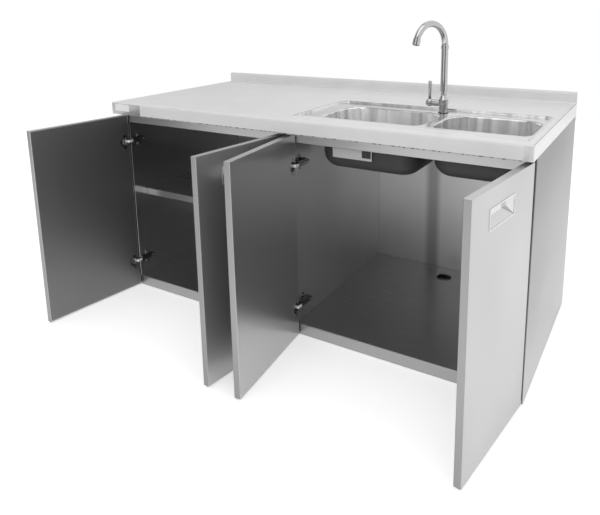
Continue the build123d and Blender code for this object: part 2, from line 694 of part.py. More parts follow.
def make_spout_riser():
    """Straight riser with the stub that turns in the body."""
    stub = rod(SWIVEL_STUB_DIAMETER, SWIVEL_STUB_LENGTH, z=riser_z - SWIVEL_STUB_LENGTH)
    tube = rod(RISER_DIAMETER, arc_z - COLLAR_HEIGHT - riser_z, z=riser_z)
    bore = rod(SWIVEL_STUB_DIAMETER - 2 * SPOUT_WALL, arc_z, z=riser_z - SWIVEL_STUB_LENGTH)
    return aim_spout(stub + chamfer(tube.edges().sort_by(Axis.Z)[0], EDGE_BREAK) - bore)


def spout_path():
    """Centre line of the bent tube: short straight, then one arc over the bowl."""
    straight = Line((0, arc_z - COLLAR_HEIGHT), (0, arc_z))
    arc = CenterArc((-SPOUT_RADIUS, arc_z), SPOUT_RADIUS, 0, SPOUT_TURN)
    return Plane.YZ * Wire(straight.edges() + arc.edges())


def make_spout_tube():
    """Bent spout tube."""
    ring = Circle(SPOUT_DIAMETER / 2) - Circle(SPOUT_DIAMETER / 2 - SPOUT_WALL)
    return aim_spout(sweep(Pos(0, 0, arc_z - COLLAR_HEIGHT) * ring, path=spout_path()))


def make_spout_collar():
    """Union ring between the riser and the bent tube."""
    bottom = arc_z - COLLAR_HEIGHT
    ring = rod(COLLAR_DIAMETER, COLLAR_HEIGHT, z=bottom)
    ring = fillet(ring.edges(), COLLAR_ROUND)
    return aim_spout(ring - rod(SPOUT_DIAMETER, COLLAR_HEIGHT, z=bottom))


def make_aerator():
    """Outlet sleeve on the tube's end, which it overlaps."""
    turn = radians(SPOUT_TURN)
    end = Vector(0, -SPOUT_RADIUS + SPOUT_RADIUS * cos(turn), arc_z + SPOUT_RADIUS * sin(turn))
    along = Vector(0, -sin(turn), cos(turn))
    plane = Plane(origin=end - along * AERATOR_OVERLAP, z_dir=along)
    sleeve = extrude(plane * Circle(AERATOR_DIAMETER / 2), AERATOR_LENGTH)
    sleeve = chamfer(sleeve.edges(), EDGE_BREAK)
    socket = extrude(plane * Circle(SPOUT_DIAMETER / 2), AERATOR_OVERLAP)
    mouth = extrude(plane * Circle(SPOUT_DIAMETER / 2 - SPOUT_WALL), AERATOR_LENGTH)
    return aim_spout(sleeve - socket - mouth)


def make_mixer_hub():
    """Ball-ended hub that turns on the cartridge's axis, slotted for the lever."""
    radius = HUB_BALL_DIAMETER / 2
    ball = Pos(lever_x, faucet_y, hub_z) * Rot(0, 90, 0) * Sphere(radius)
    beyond_face = block(
        hub_start_x, lever_x + radius + CUT_MARGIN, faucet_y - radius, faucet_y + radius,
        hub_z - radius, hub_z + radius,
    )
    stem = Pos(hub_start_x + HUB_STEM_LENGTH / 2, faucet_y, hub_z) * Rot(0, 90, 0)
    stem *= Cylinder(HUB_STEM_DIAMETER / 2, HUB_STEM_LENGTH)
    root = LEVER_ROOT_DIAMETER / 2 + LEVER_CLEARANCE
    half = LEVER_ROOT_WIDTH / 2 + LEVER_CLEARANCE
    slot = block(
        lever_x - LEVER_SLOT_REACH, lever_x + root, faucet_y - half, faucet_y + half,
        hub_z - root, hub_z + radius + CUT_MARGIN,
    )
    trunnion = Pos(lever_x, faucet_y, hub_z) * Rot(90, 0, 0) * Cylinder(
        LEVER_TRUNNION_DIAMETER / 2 + PIN_CLEARANCE, LEVER_TRUNNION_LENGTH + 2 * LEVER_CLEARANCE
    )
    return ball - beyond_face + stem - slot - trunnion


def make_lever():
    """Lever with a flat root and two trunnions that tilt in the hub, swelling towards its tip."""
    eye = Rot(90, 0, 0) * Cylinder(LEVER_ROOT_DIAMETER / 2, LEVER_ROOT_WIDTH)
    trunnions = Rot(90, 0, 0) * Cylinder(LEVER_TRUNNION_DIAMETER / 2, LEVER_TRUNNION_LENGTH)
    base = LEVER_BASE_DIAMETER / 2
    shoulder = LEVER_SHOULDER_DIAMETER / 2
    tip = LEVER_TIP_DIAMETER / 2
    ring_top = lever_ring_base + LEVER_RING_HEIGHT
    outline = Polyline(
        (0, 0), (base, 0), (base, ring_top), (shoulder, ring_top + EDGE_BREAK),
        (tip, LEVER_LENGTH - tip / 2), (tip / 2, LEVER_LENGTH), (0, LEVER_LENGTH), close=True,
    )
    shaft = revolve(Plane.XZ * make_face(outline.edges()), Axis.Z)
    return Pos(lever_x, faucet_y, hub_z) * (eye + trunnions + shaft)


def make_lever_ring():
    """Dark seal ring round the lever just above the hub."""
    ring = rod(LEVER_RING_DIAMETER, LEVER_RING_HEIGHT, z=lever_ring_base)
    ring = fillet(ring.edges(), EDGE_BREAK) - rod(LEVER_BASE_DIAMETER, LEVER_RING_HEIGHT, z=lever_ring_base)
    return Pos(lever_x, faucet_y, hub_z) * ring


# ---------------------------------------------------------------- doors and hinges
# A door is drawn closed: x runs from its hinge edge, y from its outer face towards the cabinet.
def hang(shape, door, opened):
    """Turns a piece about the hinge pivot and moves it to its door's place."""
    turned = Rot(0, 0, -opened) * Pos(-PIVOT_FROM_EDGE, -PIVOT_DEPTH, 0) * shape
    if door.hand < 0:
        turned = mirror(turned, Plane.YZ)
    return Pos(door.edge_x + door.hand * PIVOT_FROM_EDGE, pivot_y, 0) * turned


def cup_cutter(extra, height):
    """The hinge cup's outer cylinder, for the hole that takes it."""
    depth = CUP_DEPTH + extra
    centre = Pos(CUP_FROM_EDGE, DOOR_THICKNESS - depth / 2, height)
    return centre * Rot(90, 0, 0) * Cylinder(CUP_DIAMETER / 2 + extra, depth)


def handle_cavity(grow):
    """The finger recess: sloping floor, flat back and slanting ends; grow adds the insert's wall."""
    top = door_z + door_height - HANDLE_FROM_DOOR_TOP
    bottom = top - HANDLE_HEIGHT
    depth = HANDLE_DEPTH + grow
    profile = Polyline(
        (-CUT_MARGIN, bottom - grow), (0, bottom - grow), (depth, bottom + HANDLE_SLOPE_RISE - grow),
        (depth, top + grow), (-CUT_MARGIN, top + grow), close=True,
    )
    form = extrude(Plane.YZ * make_face(profile.edges()), HANDLE_LENGTH + 2 * grow)
    form = Pos(HANDLE_FROM_HINGE - grow, 0, 0) * form
    for mouth_x, draft in ((-grow, HANDLE_END_DRAFT), (HANDLE_LENGTH + grow, -HANDLE_END_DRAFT)):
        wedge = Polyline((mouth_x, 0), (mouth_x + draft, depth), (mouth_x, depth), close=True)
        cut = extrude(Plane.XY * make_face(wedge.edges()), HANDLE_HEIGHT + 2 * (grow + CUT_MARGIN))
        form -= Pos(HANDLE_FROM_HINGE, 0, bottom - grow - CUT_MARGIN) * cut
    return form


def make_outer_pan(width):
    """Outer door skin, folded round all four edges, with holes for the handle and nothing else."""
    skin = DOOR_SHEET
    top = door_z + door_height
    shell = rounded_block(0, width, 0, DOOR_THICKNESS, door_z, top, DOOR_EDGE_ROUND)
    shell -= rounded_block(
        skin, width - skin, skin, DOOR_THICKNESS - skin, door_z + skin, top - skin, DOOR_EDGE_ROUND - skin
    )
    mouth = DOOR_RETURN
    shell -= block(
        mouth, width - mouth, DOOR_THICKNESS - 2 * skin, DOOR_THICKNESS, door_z + mouth, top - mouth
    )
    return shell - handle_cavity(HANDLE_WALL)


def make_inner_pan(width):
    """Inner door skin: a shallow pan that fills the outer pan's mouth, bored for the hinge cups."""
    skin = DOOR_SHEET
    mouth = DOOR_RETURN
    top = door_z + door_height
    front = DOOR_THICKNESS - skin - INNER_PAN_RETURN
    pan = block(mouth, width - mouth, front, DOOR_THICKNESS, door_z + mouth, top - mouth)
    pan -= block(
        mouth + skin, width - mouth - skin, front, DOOR_THICKNESS - skin,
        door_z + mouth + skin, top - mouth - skin,
    )
    for height in hinge_heights:
        pan -= cup_cutter(0, height)
    return pan


def make_core(width):
    """Honeycomb board between the skins, shown as one block with its pockets."""
    skin = DOOR_SHEET
    fold = DOOR_EDGE_ROUND
    top = door_z + door_height
    front_of_pan = DOOR_THICKNESS - skin - INNER_PAN_RETURN
    core = block(fold, width - fold, skin, front_of_pan, door_z + fold, top - fold)
    mouth = DOOR_RETURN + skin
    core += block(mouth, width - mouth, front_of_pan, DOOR_THICKNESS - skin, door_z + mouth, top - mouth)
    for height in hinge_heights:
        core -= cup_cutter(0, height)
    return core - handle_cavity(HANDLE_WALL)


def make_handle():
    """Recessed handle: a thin tub with a raised rim round its mouth."""
    top = door_z + door_height - HANDLE_FROM_DOOR_TOP
    bottom = top - HANDLE_HEIGHT
    far_x = HANDLE_FROM_HINGE + HANDLE_LENGTH
    rim = RectangleRounded(HANDLE_LENGTH + 2 * HANDLE_RIM, HANDLE_HEIGHT + 2 * HANDLE_RIM, HANDLE_RIM_CORNER)
    flange = Pos((HANDLE_FROM_HINGE + far_x) / 2, 0, (bottom + top) / 2) * Rot(90, 0, 0)
    flange *= extrude(rim, HANDLE_RIM_PROUD)
    wall = HANDLE_WALL
    behind_face = block(
        HANDLE_FROM_HINGE - wall, far_x + wall, 0, DOOR_THICKNESS, bottom - wall, top + wall
    )
    tub = handle_cavity(wall) & behind_face
    mouth = block(HANDLE_FROM_HINGE, far_x, -2 * HANDLE_RIM_PROUD, 0, bottom, top)
    return flange + tub - handle_cavity(0) - mouth


def make_hinge_cups():
    """Hinge cups with their rims and screw wings, bored for the pins."""
    cups = []
    inside = DOOR_THICKNESS + CUP_RIM_PROUD
    for height in hinge_heights:
        cup = cup_cutter(0, height)
        rim = Pos(CUP_FROM_EDGE, DOOR_THICKNESS + CUP_RIM_PROUD / 2, height) * Rot(90, 0, 0)
        cup += rim * Cylinder(CUP_RIM_DIAMETER / 2, CUP_RIM_PROUD)
        wing = block(
            CUP_FROM_EDGE - CUP_WING_WIDTH / 2, CUP_FROM_EDGE + CUP_WING_WIDTH / 2,
            DOOR_THICKNESS, inside, height - CUP_WING_LENGTH / 2, height + CUP_WING_LENGTH / 2,
        )
        cup += fillet(wing.edges().filter_by(Axis.Y), CUP_WING_WIDTH / 3)
        hollow_depth = CUP_DEPTH - CUP_FLOOR + CUP_RIM_PROUD
        hollow = Pos(CUP_FROM_EDGE, inside - hollow_depth / 2, height) * Rot(90, 0, 0)
        cup -= hollow * Cylinder(CUP_DIAMETER / 2 - CUP_WALL, hollow_depth)
        cups.append(cup - hinge_pin(height))
    return cups


def hinge_pin(height):
    """One hinge pin across its cup."""
    return rod(PIN_DIAMETER, PIN_LENGTH, PIVOT_FROM_EDGE, PIVOT_DEPTH, height - PIN_LENGTH / 2)


def make_hinge_pins():
    """The two hinge pins of a door."""
    return [hinge_pin(height) for height in hinge_heights]


def make_hinge_arms():
    """Cranked arms from the pins back over the mounting plates."""
    leg_x = PIVOT_FROM_EDGE + ARM_OFFSET
    leg_end = DOOR_THICKNESS + DOOR_STANDOFF + ARM_LEG
    front = PIVOT_DEPTH - ARM_SHEET / 2
    line = ((PIVOT_FROM_EDGE, front), (leg_x + ARM_SHEET, front), (leg_x + ARM_SHEET, leg_end))
    arms = []
    for height in hinge_heights:
        strip = folded(tuple(reversed(line)), ARM_SHEET, ARM_BEND, Plane.XY, ARM_WIDTH)
        low = height - ARM_WIDTH / 2
        arm = Pos(0, 0, low) * strip
        arm += rod(ARM_EYE_DIAMETER, ARM_WIDTH, PIVOT_FROM_EDGE, PIVOT_DEPTH, low)
        arm -= rod(PIN_DIAMETER + 2 * PIN_CLEARANCE, ARM_WIDTH, PIVOT_FROM_EDGE, PIVOT_DEPTH, low)
        screw = Pos(leg_x, leg_end - ARM_SCREW_FROM_END, height) * Rot(0, 90, 0)
        arms.append(arm - screw * Cylinder(SCREW_DIAMETER / 2, 4 * ARM_SHEET))
    return arms


def make_mounting_plates(panel_at):
    """Hinge plates on the panel's face, which lies at panel_at from the door's hinge edge."""
    leg_x = PIVOT_FROM_EDGE + ARM_OFFSET
    front = DOOR_THICKNESS + DOOR_STANDOFF
    start = front + PLATE_SETBACK
    leg_end = front + ARM_LEG
    plates = []
    for height in hinge_heights:
        plate = block(
            panel_at, leg_x, start, start + PLATE_LENGTH,
            height - PLATE_BLOCK_HEIGHT / 2, height + PLATE_BLOCK_HEIGHT / 2,
        )
        plate = fillet(plate.edges().filter_by(Axis.X), PLATE_CORNER)
        line = front + SCREW_LINE
        wing = block(
            panel_at, panel_at + PLATE_WING_THICKNESS,
            line - PLATE_WING_WIDTH / 2, line + PLATE_WING_WIDTH / 2,
            height - PLATE_WING_LENGTH / 2, height + PLATE_WING_LENGTH / 2,
        )
        plate += fillet(wing.edges().filter_by(Axis.X), PLATE_WING_WIDTH / 3)
        for side in (-1, 1):
            drill = Pos(panel_at, line, height + side * SCREW_SPACING / 2) * Rot(0, 90, 0)
            plate -= drill * Cylinder(SCREW_DIAMETER / 2, 3 * PLATE_WING_THICKNESS)
        tap = Pos(leg_x, leg_end - ARM_SCREW_FROM_END, height) * Rot(0, 90, 0)
        tap_depth = SCREW_LENGTH - ARM_SHEET
        plates.append(plate - tap * Cylinder(SCREW_DIAMETER / 2, 2 * tap_depth))
    return plates


def screw():
    """Pan-head screw along +X, its head's seat at x = 0."""
    shank = rod(SCREW_DIAMETER, SCREW_LENGTH, z=-SCREW_LENGTH)
    head = rod(SCREW_HEAD_DIAMETER, SCREW_HEAD_HEIGHT)
    head = fillet(head.faces().sort_by(Axis.Z)[-1].edges(), EDGE_BREAK)
    return Rot(0, 90, 0) * (shank + head)


def make_hinge_screws(panel_at):
    """Screws of one door's mounting plates and arms."""
    leg_x = PIVOT_FROM_EDGE + ARM_OFFSET
    front = DOOR_THICKNESS + DOOR_STANDOFF
    arm_y = front + ARM_LEG - ARM_SCREW_FROM_END
    screws = []
    for height in hinge_heights:
        for side in (-1, 1):
            z = height + side * SCREW_SPACING / 2
            screws.append(Pos(panel_at + PLATE_WING_THICKNESS, front + SCREW_LINE, z) * screw())
        screws.append(Pos(leg_x + ARM_SHEET, arm_y, height) * screw())
    return screws


def build_doors():
    """All four doors with their hinges."""
    plates = []
    screws = []
    for door in DOORS:
        panel_at = door.hand * (door.panel_x - door.edge_x)
        parts[door.name + "_outer_pan"] = [hang(make_outer_pan(door.width), door, door.angle)]
        parts[door.name + "_inner_pan"] = [hang(make_inner_pan(door.width), door, door.angle)]
        parts[door.name + "_core"] = [hang(make_core(door.width), door, door.angle)]
        parts[door.name + "_handle"] = [hang(make_handle(), door, door.angle)]
        parts[door.name + "_hinge_cups"] = [hang(cup, door, door.angle) for cup in make_hinge_cups()]
        parts[door.name + "_hinge_pins"] = [hang(pin, door, door.angle) for pin in make_hinge_pins()]
        parts[door.name + "_hinge_arms"] = [hang(arm, door, 0) for arm in make_hinge_arms()]
        plates += [hang(plate, door, 0) for plate in make_mounting_plates(panel_at)]
        screws += [hang(piece, door, 0) for piece in make_hinge_screws(panel_at)]
    parts["hinge_mounting_plates"] = plates
    parts["hinge_screws"] = screws


# ---------------------------------------------------------------- assembly
parts["worktop"] = [make_worktop()]
parts["worktop_channels"] = make_worktop_channels()
parts["left_side_panel"] = [make_side_panel(-1)]
parts["right_side_panel"] = [make_side_panel(1)]
parts["centre_divider"] = [make_divider()]
parts["back_panel"] = [make_back_panel()]
parts["base_panel"] = [make_base_panel()]
parts["base_channels"] = make_base_channels()
parts["foot_plates"] = make_foot_plates()
parts["foot_nuts"] = make_foot_nuts()
parts["top_front_rail"] = [make_front_rail()]
parts["top_rear_rail"] = [make_rear_rail()]
parts["shelf"] = [make_shelf()]
parts["shelf_clips"] = make_shelf_clips()
parts["sink"] = [make_sink()]
parts["sink_clips"] = make_sink_clips()
parts["faucet_body"] = [make_faucet_body()]
parts["cartridge_housing"] = [make_cartridge_housing()]
parts["faucet_gasket"] = [make_faucet_gasket()]
parts["faucet_shank"] = [make_faucet_shank()]
parts["faucet_washer"] = [make_faucet_washer()]
parts["faucet_nut"] = [make_faucet_nut()]
parts["spout_riser"] = [make_spout_riser()]
parts["spout_tube"] = [make_spout_tube()]
parts["spout_collar"] = [make_spout_collar()]
parts["aerator"] = [make_aerator()]
parts["mixer_hub"] = [make_mixer_hub()]
parts["lever"] = [make_lever()]
parts["lever_ring"] = [make_lever_ring()]
build_doors()

os.makedirs("parts", exist_ok=True)
for node, pieces in parts.items():
    solids = [solid for piece in pieces for solid in piece.solids()]
    shape = solids[0] if len(solids) == 1 else Compound(children=solids)
    shape.label = node
    export_step(shape, "parts/" + node + ".step")
    print(node, len(solids), round(sum(solid.volume for solid in solids) / 1000, 2), "cm3")
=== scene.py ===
"""Kitchen sink unit: finishes, protective film, floor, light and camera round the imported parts.

Sizes are metres, +Z is up and the front faces -Y. Greys and roughness run from 0 to 1.
"""
import math

import bpy
from mathutils import Matrix, Vector, noise


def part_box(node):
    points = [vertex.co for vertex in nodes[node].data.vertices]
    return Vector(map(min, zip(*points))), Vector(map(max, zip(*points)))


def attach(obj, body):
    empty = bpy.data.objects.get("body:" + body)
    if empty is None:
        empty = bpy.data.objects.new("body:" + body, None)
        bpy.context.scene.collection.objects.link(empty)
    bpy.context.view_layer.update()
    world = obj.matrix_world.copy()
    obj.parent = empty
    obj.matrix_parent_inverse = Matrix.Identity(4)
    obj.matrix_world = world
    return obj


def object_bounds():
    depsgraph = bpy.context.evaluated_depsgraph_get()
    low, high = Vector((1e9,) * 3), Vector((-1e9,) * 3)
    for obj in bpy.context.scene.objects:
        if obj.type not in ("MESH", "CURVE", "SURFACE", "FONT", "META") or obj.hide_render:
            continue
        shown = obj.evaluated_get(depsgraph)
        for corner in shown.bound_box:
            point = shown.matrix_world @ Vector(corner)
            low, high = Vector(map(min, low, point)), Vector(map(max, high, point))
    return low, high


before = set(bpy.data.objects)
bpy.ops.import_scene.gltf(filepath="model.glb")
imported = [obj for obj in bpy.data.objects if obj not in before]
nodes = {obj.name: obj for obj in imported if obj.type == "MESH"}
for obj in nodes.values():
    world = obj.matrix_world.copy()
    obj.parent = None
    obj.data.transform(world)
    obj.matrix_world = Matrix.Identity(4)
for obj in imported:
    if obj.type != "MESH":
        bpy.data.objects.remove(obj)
cad_low, cad_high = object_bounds()

# ---------------------------------------------------------------- sizes of the steel parts
APRON_HEIGHT = 0.042
UPSTAND_HEIGHT = 0.040
UPSTAND_THICKNESS = 0.012
WORKTOP_BEND = 0.0025
SINK_CORNER = 0.034
BEAD_WIDTH = 0.009
BEAD_HEIGHT = 0.0025
DECK_DROP = 0.0045
BOWL_MIDDLES = ((0.2375, -0.1564), (0.5775, -0.1564))   # plan centres of the two bowls
LAND_MIDDLE = 0.4225             # the middle of the land between the bowls
ABOVE_BOWLS = 0.80               # a height over the bowls, which tells their outside from their inside
UNDERSIDE_TOP = 0.7335                # painted shade under the bowls reaches up to this height, below the deck
DOOR_COUNT = 4

# ---------------------------------------------------------------- places read from the frame
top_low, top_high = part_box("worktop")
sink_low, sink_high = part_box("sink")
back_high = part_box("back_panel")[1]
top_z = top_high.z - UPSTAND_HEIGHT
apron_z = top_z - APRON_HEIGHT

# ---------------------------------------------------------------- sizes of the film, the label and the plate
FILM_END_GAP = 0.002
APRON_BARE_LEFT = 0.143          # bare steel at the apron's two ends
APRON_BARE_RIGHT = 0.022
FILM_LIFT = 0.0004               # the film's height over the steel
FILM_STEP = 0.0075               # the length of one face of the film
FILM_WAVE = 0.0004               # faint waves: their height, and how close together they are
FILM_WAVE_RATE = 12.0
FILM_TUCK = 0.0045               # how far the film runs under the sink's rim
SINK_CUT_HEIGHT = 0.002          # film within this height over the worktop is cut out round the sink
CREST_BEND = 0.002               # the film's bend at the upstand's crest, and its reach across it
CREST_REACH = 0.008
FILM_HEM = 0.0014                # the film's ragged edge below the apron, and how ragged it is
HEM_RATE = 45.0
HEM_SHADE_LINE = 0.0020                # the hem's painted shade reaches this far above the apron's lower edge
FLAP_FRONT = 0.0035              # the film's flap over the sink's front land, from the rim's outer line
FLAP_REACH = 0.0610
FLAP_END_GAP = 0.006
LABEL_PLACE = (0.2010, -0.2815, 0.6375)
LABEL_SIZE = (0.134, 0.040)
LABEL_MARK = 0.030               # the dark square on the label
MARK_INSET = 0.018               # the square's middle, from the label's right end
MARK_RAISE = 0.0025              # and from the label's middle upwards
MARK_LIFT = 0.0004               # and from the label's middle forwards
PLATE_PLACE = (-0.6960, -0.3768, 0.7240)
PLATE_SIZE = (0.072, 0.025)
PLATE_THICKNESS = 0.0006

# ---------------------------------------------------------------- noise scales, one for each axis
ALONG_X = (6.0, 900.0, 900.0)
HORIZONTAL = (10.0, 10.0, 1400.0)
MOTTLING = (180.0, 180.0, 180.0)
# painted reflections on the bowls, drawn out upright
SINK_REFLECTION_STREAKS = (24.0, 24.0, 0.5)
SHEET_PATCHES = (2.2, 2.2, 1.3)
SIDE_PATCHES = (1.0, 2.5, 5.0)
FILM_CLOUDS = (9.0, 9.0, 9.0)
FILM_WRINKLES = (16.0, 9.0, 16.0)
# dashes of painted shade where the hem is torn
TORN_SHADE_DASHES = (70.0, 0.0, 0.0)

# ---------------------------------------------------------------- greys, roughness and relief
NOISE_RANGE = (0.3, 0.7)         # the part of a noise that is spread out, and the same for broad patches
PATCH_RANGE = (0.35, 0.65)
SHEET_METAL = 0.88
SHEET_SPREAD = 0.004             # the grain's grey on a brushed sheet, up and down
SHEET_RELIEF = 0.0000012
EDGE_FACING = 0.7                # a face is a front edge where it looks this much ahead or back
EDGED_ROUGH = (0.33, 0.36)
SINK_METAL = 0.8
SINK_GREY = (0.55, 0.57)
SINK_ROUGH = (0.17, 0.22)
SINK_RELIEF = 0.000004
REFLECTION_STREAK_GREY = (0.03, 0.68)       # painted reflections: tall soft streaks added on the bowls' walls
REFLECTION_STREAK_RANGE = (0.36, 0.66)
WALL_SLOPE = (0.25, 0.75)        # from wall to level face, by the upright part of the normal
# painted shade under the bowls: its grey
UNDERSIDE_SHADE_GREY = 0.05
UNDERSIDE_ROUGH = 0.4                 # roughness added under the bowls, where the shade is painted
MOTTLED_GREY = (0.94, 1.04)      # mottling, as a share of the grey and of the roughness
MOTTLED_ROUGH = (0.90, 1.15)
ARM_GREY = (0.28, 0.32)
ARM_ROUGH = (0.22, 0.28)
ARM_GLINT_SPAN = (-0.354, -0.320)     # the y between which a hinge arm has its painted highlight
ARM_GLINT_GREY = 0.60            # added where the highlight is painted
ARM_GLINT_MATT = 0.9            # how much of the metal the painted highlight makes matt
FILM_GREY = (0.64, 0.68)
FILM_ROUGH = (0.30, 0.40)
FILM_IOR = 1.5
WRINKLE_RELIEF = 0.0004
WRINKLE_STRENGTH = 0.4
TORN_SHADE_FROM = 0.54                 # the noise value above which the hem is torn and its painted shade darker
HEM_SHADE = 0.4                   # how much painted shade darkens the hem, and once more where it is torn
BACK_GREY = (0.58, 0.60)
BACK_ROUGH = (0.42, 0.44)
BACK_INSIDE_LIGHT = 0.12               # painted light, added on the back sheet's inside
DARK_BAND_X = 0.246              # a painted dark upright reflection on the back sheet's inside
DARK_BAND_EDGE = (0.012, 0.036)  # its soft edge, from its middle
DARK_BAND_SHADE = 0.45
SIDE_METAL = 0.92
SIDE_TINT = 0.62
SIDE_LIGHT_GREYS = (0.76, 0.26)         # a side panel's painted light: its grey at the two heights below
SIDE_LIGHT_HEIGHTS = (0.06, 0.66)
SIDE_SPREAD = 0.005
SIDE_PATCH_SPREAD = 0.03
# painted shade on the side panels' front edges
SIDE_EDGE_SHADE = 0.40
SIDE_ROUGH = (0.14, 0.17)

# ---------------------------------------------------------------- camera, fitted to the photograph
CAMERA_PLACE = (1.0187, -1.8279, 1.0770)
CAMERA_YAW = 30.86
CAMERA_PITCH = -11.38
CAMERA_ROLL = -0.78
FOCAL_PIXELS = 589.5
PRINCIPAL_POINT = (321.6, 125.0)
IMAGE_WIDTH = 600
IMAGE_HEIGHT = 515
SENSOR_WIDTH = 36.0
CLIP_END = 100.0

# ---------------------------------------------------------------- floor and light
FLOOR_SIZE = 8.0
FLOOR_DROP = 0.0005              # the floor's gap under the unit
FLOOR_GREY = 0.86
FLOOR_ROUGH = 0.9
FLOOR_GAIN = 0.42                # the floor's own light, which keeps it white
UNDER_MARGIN = 0.001             # the floor under the unit, this far inside its edges, isn't seen as white
EVEN_LIGHT = 0.80                # the world's brightness for matt surfaces
# the studio round the object: compass position from the left by the front, and brightness in gloss
STUDIO_BANDS = (
    (0.000, 0.85), (0.034, 0.10), (0.070, 0.45), (0.120, 0.28), (0.200, 0.38), (0.270, 0.42), (0.310, 0.30),
    (0.343, 0.05), (0.375, 0.25), (0.405, 1.0), (0.800, 1.0), (0.870, 0.55), (0.930, 1.0), (1.000, 0.85),
)
# soft lamps: name, place, aim, size and power
LAMPS = (
    ("top_lamp", (0.5, -1.2, 3.2), (0.2, 0, 0.7), 2.4, 25),
    ("front_lamp", (0.2, -3.6, 1.5), (0.1, 0, 0.5), 2.4, 11),
)


# ---------------------------------------------------------------- node helpers
def new_material(name):
    """A node material with a Principled shader; returns the material, its tree and the shader."""
    made = bpy.data.materials.new(name)
    made.use_nodes = True
    tree = made.node_tree
    return made, tree, tree.nodes["Principled BSDF"]


def even(grey):
    """One grey as a colour."""
    return grey, grey, grey, 1.0


def around(middle, spread):
    """The two ends of a range."""
    return middle - spread, middle + spread


def combine(tree, operation, first, second=0.0):
    """One maths node; each input is a socket or a number."""
    made = tree.nodes.new("ShaderNodeMath")
    made.operation = operation
    for socket, value in zip(made.inputs, (first, second)):
        if isinstance(value, (int, float)):
            socket.default_value = value
        else:
            tree.links.new(value, socket)
    return made.outputs["Value"]


def add(tree, first, second):
    """The sum of two values."""
    return combine(tree, "ADD", first, second)


def minus(tree, first, second):
    """The first value less the second."""
    return combine(tree, "SUBTRACT", first, second)


def times(tree, first, second):
    """The product of two values."""
    return combine(tree, "MULTIPLY", first, second)


def above(tree, value, limit):
    """1 where a value is greater than a limit, 0 elsewhere."""
    return combine(tree, "GREATER_THAN", value, limit)


def below(tree, value, limit):
    """1 where a value is less than a limit, 0 elsewhere."""
    return combine(tree, "LESS_THAN", value, limit)


def magnitude(tree, value):
    """A value without its sign."""
    return combine(tree, "ABSOLUTE", value)


def axes(tree, output):
    """The X, Y and Z of one output of the texture coordinates, such as Object or Normal."""
    place = tree.nodes.new("ShaderNodeTexCoord")
    made = tree.nodes.new("ShaderNodeSeparateXYZ")
    tree.links.new(place.outputs[output], made.inputs["Vector"])
    return made.outputs["X"], made.outputs["Y"], made.outputs["Z"]


def grain(tree, scale, detail=3.0, roughness=0.55):
    """Noise stretched by a scale for each axis of the object."""
    place = tree.nodes.new("ShaderNodeTexCoord")
    stretch = tree.nodes.new("ShaderNodeMapping")
    stretch.inputs["Scale"].default_value = scale
    cloud = tree.nodes.new("ShaderNodeTexNoise")
    cloud.inputs["Scale"].default_value = 1.0
    cloud.inputs["Detail"].default_value = detail
    cloud.inputs["Roughness"].default_value = roughness
    tree.links.new(place.outputs["Object"], stretch.inputs["Vector"])
    tree.links.new(stretch.outputs["Vector"], cloud.inputs["Vector"])
    return cloud.outputs["Fac"]


def ramp(tree, source, values, between=NOISE_RANGE):
    """Turns a value between two limits into one between two greys or numbers."""
    spread = tree.nodes.new("ShaderNodeMapRange")
    spread.inputs["From Min"].default_value, spread.inputs["From Max"].default_value = between
    spread.inputs["To Min"].default_value, spread.inputs["To Max"].default_value = values
    tree.links.new(source, spread.inputs["Value"])
    return spread.outputs["Result"]


def bump(tree, source, shader, height, strength=1.0):
    """Relief of a real height in metres from a noise value."""
    relief = tree.nodes.new("ShaderNodeBump")
    relief.inputs["Strength"].default_value = strength
    relief.inputs["Distance"].default_value = height
    tree.links.new(source, relief.inputs["Height"])
    tree.links.new(relief.outputs["Normal"], shader.inputs["Normal"])


# ---------------------------------------------------------------- brushed sheets
def bare_sheet(name, scale, rough, metal=SHEET_METAL):
    """Brushed steel that still needs its grey; returns the material, its tree, its shader and its grain."""
    made, tree, shader = new_material(name)
    shader.inputs["Metallic"].default_value = metal
    fine = grain(tree, scale)
    tree.links.new(ramp(tree, fine, rough), shader.inputs["Roughness"])
    bump(tree, fine, shader, SHEET_RELIEF)
    return made, tree, shader, fine


def brushed(name, grey, scale, rough, anisotropy=0.0):
    """Even brushed steel: its grey, its grain's direction by scale, and its range of roughness."""
    made, tree, shader, fine = bare_sheet(name, scale, rough)
    tree.links.new(ramp(tree, fine, around(grey, SHEET_SPREAD)), shader.inputs["Base Color"])
    if anisotropy:
        shader.inputs["Anisotropic"].default_value = anisotropy
        round_z = tree.nodes.new("ShaderNodeTangent")
        round_z.direction_type = "RADIAL"
        round_z.axis = "Z"
        tree.links.new(round_z.outputs["Tangent"], shader.inputs["Tangent"])
    return made


def front_edge_shade(tree, shade):
    """1 on most of a piece, and a lower value, as painted shade, on its faces that look straight ahead or
    straight back.
    """
    edge = above(tree, magnitude(tree, axes(tree, "Normal")[1]), EDGE_FACING)
    return minus(tree, 1.0, times(tree, edge, 1.0 - shade))


def edged(name, grey, shade, patches):
    """Brushed sheet with painted shade on its front edges and broad soft patches."""
    made, tree, shader, fine = bare_sheet(name, HORIZONTAL, EDGED_ROUGH)
    patch = ramp(tree, grain(tree, SHEET_PATCHES, detail=1.0), around(0.0, patches), PATCH_RANGE)
    tone = add(tree, ramp(tree, fine, around(grey, SHEET_SPREAD)), patch)
    tree.links.new(times(tree, tone, front_edge_shade(tree, shade)), shader.inputs["Base Color"])
    return made


